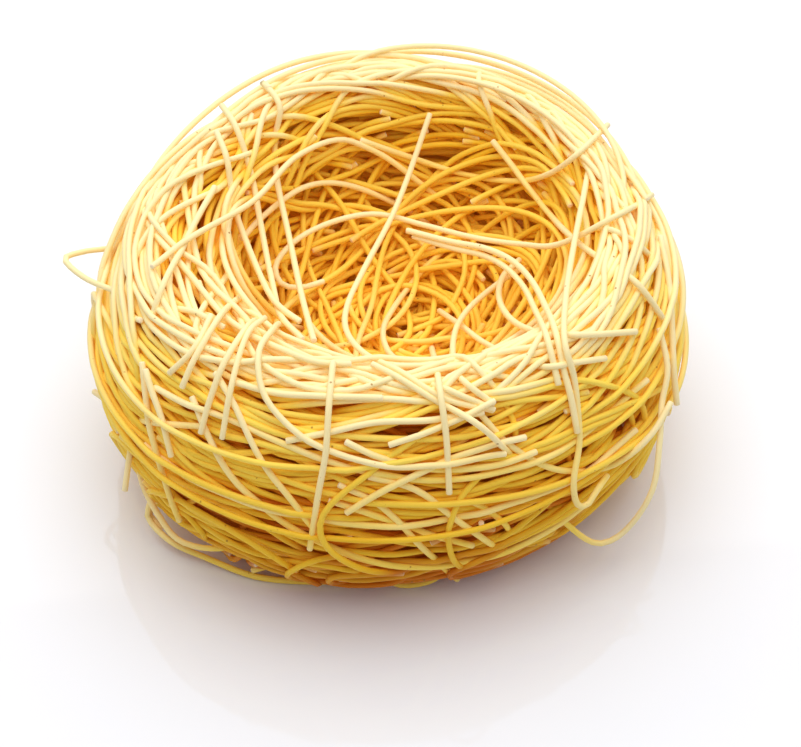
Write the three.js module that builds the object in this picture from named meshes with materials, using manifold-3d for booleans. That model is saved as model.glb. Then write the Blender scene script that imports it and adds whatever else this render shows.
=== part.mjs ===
// A nest of dry angel hair pasta: fine round strands, wound round and round into a thick-walled bowl
// with an open hollow, a low floor of crossing strands, and loops and cut ends standing off it.
// Millimetres, +Z up. The origin is the middle of the flat foot. +X is to the right and -Y to the
// front as the nest is usually seen.
// The body is the packed mass of the nest, ridged along the winding, and the strands that stand
// out of it are fused on at their true diameter.

import * as THREE from "three";
import { mergeVertices } from "three/addons/utils/BufferGeometryUtils.js";
import Module from "manifold-3d";

// Driving dimensions.
const STRAND_DIAMETER = 0.66;
const NEST_RADIUS = 31; // at the widest, a little above mid height
const NEST_HEIGHT = 30;
const FOOT_RADIUS = 24;
const CREST_RADIUS = 24;
const MOUTH_RADIUS = 21; // where the inner wall turns down
const FLOOR_HEIGHT = 14.5; // the tops of the strands that cross on the hollow's floor
const HOLLOW_SHIFT = [1.9, 1]; // the hollow lies this far right of and behind the nest's middle
const MASS_DEPTH = 0.3; // the packed mass lies this far under the outermost strands

// How finely the mass and the strands are drawn.
const MASS_STEPS_ROUND = 54;
const MASS_STEPS_ACROSS = 33;
const RIDGES_ACROSS = 8; // bundles of strands side by side, from the foot to the hollow's middle
const RIDGE_DEPTH = 1.7;
const RIDGE_TURNS = 2; // bundles that a ridge climbs past in one turn of the nest
const STRAND_SIDES = 5;
const STRAND_STEP = 4.6; // length of strand from one ring of corners to the next
const SLIVER = 0.1; // detail smaller than this is merged after the joining

// Half of the nest's section, from the rim of the foot over the crest to the hollow's middle.
const SECTION = new THREE.CatmullRomCurve3(
  [
    [FOOT_RADIUS, 0],
    [NEST_RADIUS - 3.4, 3],
    [NEST_RADIUS - 0.8, 8.5],
    [NEST_RADIUS, 14],
    [NEST_RADIUS - 0.7, 19.5],
    [NEST_RADIUS - 2.5, 24.8],
    [NEST_RADIUS - 4.6, 28],
    [CREST_RADIUS, NEST_HEIGHT],
    [MOUTH_RADIUS + 0.2, NEST_HEIGHT - 1.3],
    [MOUTH_RADIUS - 2, NEST_HEIGHT - 4.8],
    [MOUTH_RADIUS - 4.8, FLOOR_HEIGHT + 6],
    [MOUTH_RADIUS - 9, FLOOR_HEIGHT + 2.8],
    [MOUTH_RADIUS - 15, FLOOR_HEIGHT + 0.7],
    [0, FLOOR_HEIGHT],
  ].map(([r, z]) => new THREE.Vector3(r, 0, z)),
  false,
  "centripetal",
);
const CREST_SHARE = 0.49; // of the section's length, from the foot to the crest

const degrees = THREE.MathUtils.degToRad;
const smoothstep = THREE.MathUtils.smoothstep;

// A repeatable stream of numbers from 0 to 1.
function seededRandom(seed) {
  let state = seed >>> 0;
  return () => {
    state = (Math.imul(state, 1664525) + 1013904223) >>> 0;
    return state / 4294967296;
  };
}

// The nest isn't quite round: slow swells of its radius and height, by angle in radians.
const swellOfRadius = (angle) =>
  0.6 * Math.cos(2 * angle - 0.6) +
  0.45 * Math.cos(3 * angle + 1.1) -
  1.9 * Math.max(Math.cos(angle - 2.35), 0) ** 6;
const swellOfHeight = (angle) =>
  1.2 * Math.cos(angle - 1.6) + 0.35 * Math.cos(3 * angle);

// A point of the nest's surface. share runs along the section, 0 at the foot and 1 at the hollow's
// middle; lift stands it off along the outward normal.
function onNest(angle, share, lift = 0) {
  const at = SECTION.getPointAt(share);
  const along = SECTION.getTangentAt(share);
  const normal = new THREE.Vector2(along.z, -along.x);
  const high = smoothstep(at.z, 1, NEST_HEIGHT);
  const wide = smoothstep(at.x, 0, NEST_RADIUS);
  const inside = smoothstep(share, CREST_SHARE, CREST_SHARE + 0.15);
  const radius = at.x + normal.x * lift + swellOfRadius(angle) * wide;
  const height = at.z + normal.y * lift + swellOfHeight(angle) * high;
  return new THREE.Vector3(
    radius * Math.cos(angle) + HOLLOW_SHIFT[0] * inside,
    radius * Math.sin(angle) + HOLLOW_SHIFT[1] * inside,
    Math.max(height, 0),
  );
}

// The packed mass: the section carried round the axis, with a ridge for each bundle of strands.
// The foot is one flat disc at height 0.
function packedMass() {
  const corners = [];
  const faces = [];
  for (let i = 0; i < MASS_STEPS_ACROSS; i++) {
    const share = i / MASS_STEPS_ACROSS;
    for (let j = 0; j < MASS_STEPS_ROUND; j++) {
      const angle = (2 * Math.PI * j) / MASS_STEPS_ROUND;
      const phase =
        2 * Math.PI * share * RIDGES_ACROSS +
        RIDGE_TURNS * angle +
        0.8 * Math.sin(3 * angle);
      const ridge = RIDGE_DEPTH * (Math.cos(phase) - 1) * 0.5;
      const lift = i === 0 ? 0 : ridge - MASS_DEPTH;
      const point = onNest(angle, share, lift);
      if (i === 0) point.z = 0;
      corners.push(point);
    }
  }
  const ring = (i, j) => i * MASS_STEPS_ROUND + (j % MASS_STEPS_ROUND);
  for (let i = 0; i + 1 < MASS_STEPS_ACROSS; i++)
    for (let j = 0; j < MASS_STEPS_ROUND; j++) {
      faces.push(ring(i, j), ring(i, j + 1), ring(i + 1, j + 1));
      faces.push(ring(i, j), ring(i + 1, j + 1), ring(i + 1, j));
    }
  const foot = corners.push(new THREE.Vector3(0, 0, 0)) - 1;
  const middle = corners.push(onNest(0, 1, -MASS_DEPTH)) - 1;
  for (let j = 0; j < MASS_STEPS_ROUND; j++) {
    faces.push(foot, ring(0, j + 1), ring(0, j));
    const last = MASS_STEPS_ACROSS - 1;
    faces.push(middle, ring(last, j), ring(last, j + 1));
  }
  return new THREE.BufferGeometry()
    .setAttribute(
      "position",
      new THREE.Float32BufferAttribute(corners.flatMap((p) => p.toArray()), 3),
    )
    .setIndex(faces);
}

// A strand: a few-sided rod of the true diameter along a smooth curve through the points. No
// strand reaches below the surface that the nest stands on.
function strandAlong(points) {
  const radius = STRAND_DIAMETER / 2;
  for (const point of points) point.z = Math.max(point.z, radius);
  const path = new THREE.CatmullRomCurve3(points, false, "centripetal");
  const section = new THREE.Shape(
    Array.from({ length: STRAND_SIDES }, (_, k) => {
      const turn = (2 * Math.PI * k) / STRAND_SIDES;
      return new THREE.Vector2(
        radius * Math.cos(turn),
        radius * Math.sin(turn),
      );
    }),
  );
  const steps = Math.max(6, Math.round(path.getLength() / STRAND_STEP));
  return new THREE.ExtrudeGeometry(section, {
    steps,
    extrudePath: path,
    bevelEnabled: false,
  });
}

// A strand wound along the nest: it starts at an angle and a share of the section, sweeps round by
// so many degrees, and drifts to another share on the way.
function woundStrand({ from, sweep, share, drift, lift, wave, phase }) {
  const count = Math.ceil(Math.abs(sweep) / 15);
  return strandAlong(
    Array.from({ length: count + 1 }, (_, k) => {
      const t = k / count;
      const angle = degrees(from + sweep * t);
      const across = share + drift * t + wave * Math.sin(phase + 2.2 * angle);
      return onNest(angle, THREE.MathUtils.clamp(across, 0.02, 0.97), lift);
    }),
  );
}

// A point given as the nest is measured: angle in degrees, radius and height.
const place = (angle, radius, height) =>
  new THREE.Vector3(
    radius * Math.cos(degrees(angle)),
    radius * Math.sin(degrees(angle)),
    height,
  );

// The winding: families of strands on one belt of the section each, spread evenly round it.
const BELTS = [
  { name: "foot", count: 3, share: [0.05, 0.13], sweep: 150 },
  { name: "side", count: 6, share: [0.16, 0.34], sweep: 150 },
  { name: "rim", count: 8, share: [0.38, 0.52], sweep: 150 },
  { name: "inner wall", count: 5, share: [0.57, 0.72], sweep: 150 },
  { name: "hollow floor", count: 2, share: [0.8, 0.87], sweep: 200 },
];

function windings() {
  const random = seededRandom(12);
  const made = [];
  for (const belt of BELTS) {
    const [low, high] = belt.share;
    for (let k = 0; k < belt.count; k++) {
      const across = (k + 0.5) / belt.count;
      made.push(
        woundStrand({
          from: 360 * 0.618 * k + 40 * random(),
          sweep: belt.sweep * (0.85 + 0.3 * random()),
          share: low + (high - low) * across,
          drift: 0.06 * (random() - 0.5),
          lift: -0.42 + 0.15 * random(),
          wave: 0.012,
          phase: 6.28 * random(),
        }),
      );
    }
  }
  return made;
}

// Loops that stand off the nest or cross the mouth's edge, each through points of (angle, radius,
// height).
const LOOPS = {
  left: [
    [160, 25.4, 21],
    [173, 31.9, 22],
    [181, 34.6, 23.5],
    [186, 32, 24],
    [194, 27.6, 25.4],
    [205, 24.6, 28.2],
    [222, 22, 28.4],
  ],
  rightFront: [
    [272, 20.6, 26],
    [277, 24.2, 28.6],
    [286, 27.6, 27.2],
    [294, 28.9, 22.3],
    [300, 29.6, 16],
    [305, 30.6, 10.2],
    [312, 32.3, 5.2],
    [319, 34.9, 8.9],
    [323, 34.7, 14.1],
    [331, 32.5, 19.1],
    [341, 28.8, 23.6],
  ],
  leftFoot: [
    [206, 28, 10],
    [211, 30.6, 5],
    [217, 31.1, 2],
    [224, 29.6, 3.4],
    [234, 29.4, 5.6],
    [247, 26.6, 8.6],
  ],
  frontFoot: [
    [252, 24.6, 5],
    [261, 26.4, 3],
    [268, 26.6, 1.2],
    [278, 26.8, 1.1],
    [286, 26, 5],
  ],
  overTheRight: [
    [36, 27, 26],
    [23, 24.1, 29.6],
    [7, 20.4, 27.2],
    [351, 19.4, 25.6],
    [331, 20.6, 26.4],
    [318, 23.7, 28.6],
    [312, 27.5, 27],
    [309, 30, 20.8],
    [305, 32, 14.9],
    [313, 30.4, 12],
  ],
};

// Strands that lie over the rim and end free, each to its cut end.
const LOOSE_ENDS = [
  [
    [184, 20.6, 26.4],
    [200, 23.8, 29.2],
    [208, 27.6, 26.4],
    [207, 30, 20.2],
    [208, 31.6, 13.7],
    [213, 33.4, 8],
  ],
  [
    [256, 19, 26],
    [262, 22.5, 28.8],
    [272, 25.5, 28.2],
    [281, 29.4, 23],
    [281, 31, 17],
  ],
  [
    [322, 19.6, 25],
    [309, 25.4, 28.6],
    [304, 29.2, 24.6],
    [301, 31.4, 18],
  ],
  [
    [70, 20.5, 27],
    [50, 24.5, 30.4],
    [35, 29, 26.4],
    [24, 31.4, 20],
  ],
  [
    [234, 28, 16],
    [242, 31.6, 10.5],
    [248, 31.6, 4.5],
  ],
  [
    [98, 22.5, 29.6],
    [110, 19.6, 25],
    [132, 14.6, 19.4],
    [160, 9.6, 16.2],
  ],
  [
    [246, 19.4, 26],
    [257, 26.4, 27.6],
    [256, 30.4, 20.6],
    [255, 31.5, 12.8],
  ],
];

// All pieces become one solid: one nest, with its strands grown into the mass they lie on.
const wasm = await Module();
wasm.setup();

function solidFrom(geometry) {
  geometry.deleteAttribute("normal");
  geometry.deleteAttribute("uv");
  const merged = mergeVertices(geometry, 1e-4);
  return new wasm.Manifold(
    new wasm.Mesh({
      numProp: 3,
      vertProperties: merged.attributes.position.array,
      triVerts: new Uint32Array(merged.index.array),
    }),
  );
}

const strands = [
  ...windings(),
  ...Object.values(LOOPS).map((points) =>
    strandAlong(points.map((p) => place(...p))),
  ),
  ...LOOSE_ENDS.map((points) => strandAlong(points.map((p) => place(...p)))),
];
let nestSolid = solidFrom(packedMass());
for (const strand of strands) nestSolid = nestSolid.add(solidFrom(strand));

// Slivers left by the joining are cleared, and pockets sealed between strands are filled.
const [joined] = nestSolid
  .simplify(SLIVER)
  .decompose()
  .sort((a, b) => b.volume() - a.volume())
  .map((solid) => solid.getMesh());
const nestGeometry = new THREE.BufferGeometry()
  .setAttribute(
    "position",
    new THREE.BufferAttribute(joined.vertProperties, joined.numProp),
  )
  .setIndex(new THREE.BufferAttribute(joined.triVerts, 1));
nestGeometry.computeVertexNormals();

const pasta = new THREE.MeshStandardMaterial({
  color: 0xf2cf7c,
  roughness: 0.5,
  metalness: 0,
});
const nest = new THREE.Mesh(nestGeometry, pasta);
nest.name = "pasta_nest";

const part = new THREE.Group();
part.add(nest);

export default part;
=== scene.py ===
"""A nest of dry angel hair pasta on a plain white floor.

Some hundreds of round strands, 0.66 mm thick, are wound into a thick-walled bowl. Each strand is a
route, worked out in millimetres. The routes are pushed apart where strands lie in each other, as far
as so many can be, and each then becomes a rod with cut ends. Meshes are in metres.
"""

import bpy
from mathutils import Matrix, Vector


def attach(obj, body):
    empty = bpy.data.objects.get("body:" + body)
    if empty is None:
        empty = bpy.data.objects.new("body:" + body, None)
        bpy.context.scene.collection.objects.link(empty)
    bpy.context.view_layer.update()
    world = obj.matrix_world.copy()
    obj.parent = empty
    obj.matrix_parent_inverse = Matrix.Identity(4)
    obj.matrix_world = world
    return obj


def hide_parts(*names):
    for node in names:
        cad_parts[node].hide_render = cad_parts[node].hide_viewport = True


bl_info = {
    "name": "Angel hair nest",
    "version": (1, 0, 0),
    "blender": (4, 5, 0),
    "location": "View3D > Sidebar > Pasta",
    "description": "Winds a nest of angel hair pasta and sets it on a studio floor",
    "category": "Object",
}

from functools import lru_cache

import bpy
import numpy as np
from bpy.props import FloatProperty, FloatVectorProperty, IntProperty, PointerProperty

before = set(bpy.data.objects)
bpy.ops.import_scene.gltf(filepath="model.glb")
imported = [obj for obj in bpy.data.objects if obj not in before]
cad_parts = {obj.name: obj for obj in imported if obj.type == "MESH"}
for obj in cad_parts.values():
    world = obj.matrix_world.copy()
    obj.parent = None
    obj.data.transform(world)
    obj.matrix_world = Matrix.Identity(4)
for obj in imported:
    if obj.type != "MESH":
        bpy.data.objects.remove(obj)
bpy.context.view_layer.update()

NODE = "pasta_nest"  # the CAD solid that all pieces here stand for
BODY = "root"
MM = 0.001  # metres in a millimetre

# The picture that the camera is matched to, and where the nest's middle is in it, in pixels.
PICTURE_WIDTH = 801
PICTURE_HEIGHT = 747
MIDDLE_IN_PICTURE = (388, 318)
MIDDLE_HEIGHT = 15.0  # mm, of the nest's middle over the floor
PIXELS_PER_MM = 9.1  # at the nest's middle
CAMERA_DISTANCE = 250.0  # mm
CAMERA_ELEVATION = 45.0  # degrees


# ---- Colours, sizes and settings ----------------------------------------------------------------


def linear(hex_colour):
    """The linear red, green and blue of an sRGB colour written as #RRGGBB."""
    byte = np.array([int(hex_colour[i : i + 2], 16) for i in (1, 3, 5)]) / 255
    return tuple(np.where(byte <= 0.04045, byte / 12.92, ((byte + 0.055) / 1.055) ** 2.4))


def length(text, about, metres):
    """A property for a length, kept in metres."""
    return FloatProperty(name=text, description=about, default=metres, unit="LENGTH", precision=5)


def power(text, about, watts):
    """A property for the power of a light."""
    return FloatProperty(name=text, description=about, default=watts, unit="POWER")


def colour(text, about, hex_colour):
    """A property for a colour, given as sRGB."""
    return FloatVectorProperty(
        name=text, description=about, default=linear(hex_colour), subtype="COLOR", min=0, max=1
    )


class NestSettings(bpy.types.PropertyGroup):
    """Sizes of the nest and of its strands."""

    strand: length("Strand", "Diameter of a strand", 0.66 * MM)
    radius: length("Nest radius", "At the widest, a little above mid height", 31 * MM)
    height: length("Nest height", "From the floor to the crest", 30 * MM)
    foot: length("Foot radius", "Radius of the flattened underside", 24 * MM)
    crest: length("Crest radius", "Radius of the ring where the rim is highest", 24 * MM)
    mouth: length("Mouth radius", "Where the inner wall turns down", 21 * MM)
    floor: length("Hollow floor", "Height of the strands that cross under the hollow", 10 * MM)
    shift: length("Hollow shift", "How far right of the middle the hollow lies", 1.9 * MM)
    set_back: length("Hollow set back", "How far behind the middle the hollow lies", 1.0 * MM)
    core_depth: length("Core depth", "How far the packed core lies under the surface", 4.6 * MM)
    wound: length("Wound length", "Strand wound in tows, in all", 24.0)
    tow: IntProperty(name="Tow", description="Strands wound side by side", default=4, min=1)
    seed: IntProperty(name="Seed", description="Another number winds another nest", default=11)


class PastaSettings(bpy.types.PropertyGroup):
    """Colours of the pasta. Pale, Pasta, Inner, Deep and Shaded are painted light and shade: a strand
    is given the one that matches how much light reaches it.
    """

    # Pale to Shaded: painted light and shade, from where the most light reaches a strand to where the
    # least does.
    pale: colour("Pale", "Dried durum dough out in the open light", "#FFECB2")
    body: colour("Pasta", "Strands on the nest's surface", "#FFDE5E")
    inner: colour("Inner", "Strands that lie just under others", "#FAD248")
    deep: colour("Deep", "Strands deep in the nest", "#F4C42E")
    shaded: colour("Shaded", "Strands low on the side away from the light", "#D67C10")
    # Painted shade: the core is a deep golden, like the deepest painted strands, so that the gaps look
    # deep.
    core: colour("Core", "The packed core", "#FFC838")
    cut: colour("Cut end", "The floury break at the end of a strand", "#FFEECA")
    speck: colour("Speck", "Bran specks in the dough", "#A8742E")


class StageSettings(bpy.types.PropertyGroup):
    """The floor and the light."""

    floor: colour("Floor", "Glossy white sheet", "#ECEDF2")
    key: power("Key light", "Large soft light above", 1.25)
    back: power("Back light", "Soft light behind", 0.3)
    world: FloatProperty(name="Room light", description="Soft light from all sides", default=1.1)


# ---- Lines --------------------------------------------------------------------------------------


def smooth_line(points, per_span=12):
    """A smooth line through the points. On each span it is the cubic through four points in turn,
    blended from straight lines between knots that lie the square root of a chord apart."""
    p = np.asarray(points, float)
    p = np.vstack([2 * p[0] - p[1], p, 2 * p[-1] - p[-2]])
    gap = np.sqrt(np.linalg.norm(np.diff(p, axis=0), axis=1)).clip(1e-4)
    knot = np.concatenate([[0], np.cumsum(gap)])
    spans = len(p) - 3
    k0, k1, k2, k3 = (knot[i : i + spans, None, None] for i in range(4))
    p0, p1, p2, p3 = (p[i : i + spans, None, :] for i in range(4))
    t = k1 + (k2 - k1) * np.linspace(0, 1, per_span, endpoint=False)[None, :, None]
    a1 = ((k1 - t) * p0 + (t - k0) * p1) / (k1 - k0)
    a2 = ((k2 - t) * p1 + (t - k1) * p2) / (k2 - k1)
    a3 = ((k3 - t) * p2 + (t - k2) * p3) / (k3 - k2)
    b1 = ((k2 - t) * a1 + (t - k0) * a2) / (k2 - k0)
    b2 = ((k3 - t) * a2 + (t - k1) * a3) / (k3 - k1)
    line = ((k2 - t) * b1 + (t - k1) * b2) / (k2 - k1)
    return np.vstack([line.reshape(-1, p.shape[1]), p[-2]])


def even_steps(line, step):
    """The same line with its points a step apart along it."""
    run = np.concatenate([[0], np.cumsum(np.linalg.norm(np.diff(line, axis=0), axis=1))])
    count = max(int(round(run[-1] / step)), 4)
    at = np.linspace(0, run[-1], count + 1)
    return np.stack([np.interp(at, run, c) for c in line.T], -1)


def smoothstep(x, low, high):
    """0 below low, 1 above high, and 3t² - 2t³ between."""
    t = np.clip((x - low) / (high - low), 0, 1)
    return t * t * (3 - 2 * t)


# ---- The form of the nest -----------------------------------------------------------------------


class NestForm:
    """The nest's outer form, in mm: a section carried round the axis, with slow swells."""

    grid_step = 0.4

    def __init__(self, s):
        radius, height, mouth, floor = (v / MM for v in (s.radius, s.height, s.mouth, s.floor))
        self.radius, self.height = radius, height
        self.crest, self.mouth, self.floor = s.crest / MM, mouth, floor
        self.hollow = np.array([s.shift, s.set_back]) / MM
        self.foot = s.foot / MM
        line = smooth_line(
            [
                (self.foot, 0),
                (radius - 3.4, 3),
                (radius - 0.8, 8.5),
                (radius, 14),
                (radius - 0.7, 19.5),
                (radius - 2.5, 24.8),
                (radius - 4.6, 28),
                (self.crest, height),
                (mouth + 0.2, height - 1.3),
                (mouth - 2, height - 6),
                (mouth - 4.8, 17.5),
                (mouth - 9, 0.6 * floor + 7),
                (mouth - 15, floor + 1),
                (0, floor),
            ],
            16,
        )
        self.line = even_steps(line, 0.25)
        slope = np.gradient(self.line, axis=0)
        slope /= np.linalg.norm(slope, axis=1)[:, None]
        self.normal = np.stack([slope[:, 1], -slope[:, 0]], -1)
        self.run = np.linspace(0, 1, len(self.line))
        self.length = 0.25 * (len(self.line) - 1)
        self.crest_run = self.run[np.argmax(self.line[:, 1])]
        self._measure_grid()

    def _measure_grid(self):
        """Distance from the section on a grid of radius and height, negative inside it."""
        step = self.grid_step
        self.r_axis = np.arange(0, 46, step)
        self.z_axis = np.arange(-6, 42, step)
        r, z = np.meshgrid(self.r_axis, self.z_axis, indexing="ij")
        outline = np.vstack([self.line, [(0, 0)]])
        far = np.hypot(r[..., None] - outline[:-1, 0], z[..., None] - outline[:-1, 1]).min(-1)
        far = np.minimum(far, np.where(r < self.foot, np.abs(z), far))
        a, b = outline, np.roll(outline, -1, axis=0)
        rise = np.where(a[:, 1] == b[:, 1], 1e-9, b[:, 1] - a[:, 1])
        cross = a[:, 0] + (b[:, 0] - a[:, 0]) * (z[..., None] - a[:, 1]) / rise
        passed = ((a[:, 1] > z[..., None]) != (b[:, 1] > z[..., None])) & (r[..., None] < cross)
        inside = passed.sum(-1) % 2 == 1
        self.grid = np.where(inside, -far, far)

    def swell_of_radius(self, angle):
        lean = np.maximum(np.cos(angle - 2.35), 0) ** 6
        return 0.6 * np.cos(2 * angle - 0.6) + 0.45 * np.cos(3 * angle + 1.1) - 1.9 * lean

    def swell_of_height(self, angle):
        return 1.2 * np.cos(angle - 1.6) + 0.35 * np.cos(3 * angle)

    def at(self, angle, share, depth):
        """The point at an angle in radians and a share of the section from the foot, this deep
        under the surface along its normal."""
        r, z = (np.interp(share, self.run, c) for c in self.line.T)
        nr, nz = (np.interp(share, self.run, c) for c in self.normal.T)
        r, z = r - nr * depth, z - nz * depth
        r = np.maximum(r, 0)
        swollen = r + self.swell_of_radius(angle) * smoothstep(r, 0, self.radius)
        inside = 1 - smoothstep(r, self.mouth - 1.5, self.crest)
        return np.stack(
            [
                swollen * np.cos(angle) + self.hollow[0] * inside,
                swollen * np.sin(angle) + self.hollow[1] * inside,
                z + self.swell_of_height(angle) * smoothstep(z, 1, self.height),
            ],
            -1,
        )

    def _unswollen(self, p):
        """Radius and height of points in the round nest, before its swells and shift."""
        r = np.hypot(p[:, 0], p[:, 1])
        x, y = p[:, :2].T - self.hollow[:, None] * (1 - smoothstep(r, self.mouth - 1.5, self.crest))
        r = np.hypot(x, y)
        angle = np.arctan2(y, x)
        r = r - self.swell_of_radius(angle) * smoothstep(r, 0, self.radius)
        z = p[:, 2] - self.swell_of_height(angle) * smoothstep(p[:, 2], 1, self.height)
        return r, z, angle

    def distance(self, p):
        """How far points are outside the form, negative inside."""
        r, z, _ = self._unswollen(p)
        return self._look_up(r, z)

    def _look_up(self, r, z):
        i = np.clip((r - self.r_axis[0]) / self.grid_step, 0, len(self.r_axis) - 1.001)
        j = np.clip((z - self.z_axis[0]) / self.grid_step, 0, len(self.z_axis) - 1.001)
        i0, j0 = i.astype(int), j.astype(int)
        fi, fj = i - i0, j - j0
        g = self.grid
        low = g[i0, j0] * (1 - fi) + g[i0 + 1, j0] * fi
        high = g[i0, j0 + 1] * (1 - fi) + g[i0 + 1, j0 + 1] * fi
        return low * (1 - fj) + high * fj

    def outward(self, p):
        """Distance of points outside the form, and the direction in which it grows fastest."""
        r, z, angle = self._unswollen(p)
        e = self.grid_step
        here = self._look_up(r, z)
        along_r = self._look_up(r + e, z) - self._look_up(np.maximum(r - e, 0), z)
        along_z = self._look_up(r, z + e) - self._look_up(r, z - e)
        way = np.stack([along_r * np.cos(angle), along_r * np.sin(angle), along_z], -1)
        return here, way / np.linalg.norm(way, axis=1).clip(1e-9)[:, None]

    def bowl(self, x, y):
        """Height of the hollow's surface over points of the floor plan."""
        inner = self.line[self.run >= self.crest_run][::-1]
        r = np.hypot(x - self.hollow[0], y - self.hollow[1])
        return np.interp(r, inner[:, 0], inner[:, 1])

    def hollow_radius(self, height):
        """Radius of the hollow at a height."""
        inner = self.line[self.run >= self.crest_run][::-1]
        return np.interp(height, inner[:, 1], inner[:, 0])


# ---- Seeing through the camera ------------------------------------------------------------------


def camera_axes():
    """The camera's place in mm, and the directions of its right, up and forward. It looks along +Y
    and down by its elevation at the nest's middle."""
    e = np.radians(CAMERA_ELEVATION)
    back = np.array([0, -np.cos(e), np.sin(e)])
    place = np.array([0, 0, MIDDLE_HEIGHT]) + back * CAMERA_DISTANCE
    return place, np.array([1.0, 0, 0]), np.array([0, np.sin(e), np.cos(e)]), -back


def sight_lines(pixels):
    """The camera's place, and for each pixel the direction that it looks in, with 1 forward."""
    place, right, up, forward = camera_axes()
    off = (np.asarray(pixels, float) - MIDDLE_IN_PICTURE) / (PIXELS_PER_MM * CAMERA_DISTANCE)
    return place, forward + off[:, :1] * right - off[:, 1:] * up


def seen_on(form, pixels):
    """Where pixels of the picture meet the nest: the first point inside it along each sight line,
    or the nearest to it where the line misses."""
    place, way = sight_lines(pixels)
    t = np.arange(CAMERA_DISTANCE - 45, CAMERA_DISTANCE + 45, 0.15)
    p = place + way[:, None, :] * t[None, :, None]
    far = form.distance(p.reshape(-1, 3)).reshape(p.shape[:2])
    first = np.where((far < 0).any(1), (far < 0).argmax(1), far.argmin(1))
    return p[np.arange(len(p)), first]


def seen_at_height(pixels, heights):
    """Where pixels of the picture meet planes at these heights."""
    place, way = sight_lines(pixels)
    return place + way * ((heights - place[2]) / way[:, 2])[:, None]


# ---- Strands that the picture shows one by one --------------------------------------------------
# Each is (lift in mm off the nest's surface, its points in the picture). A point is a pixel where
# the strand lies on the surface, or a pixel and a height in mm where it stands off.

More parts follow.
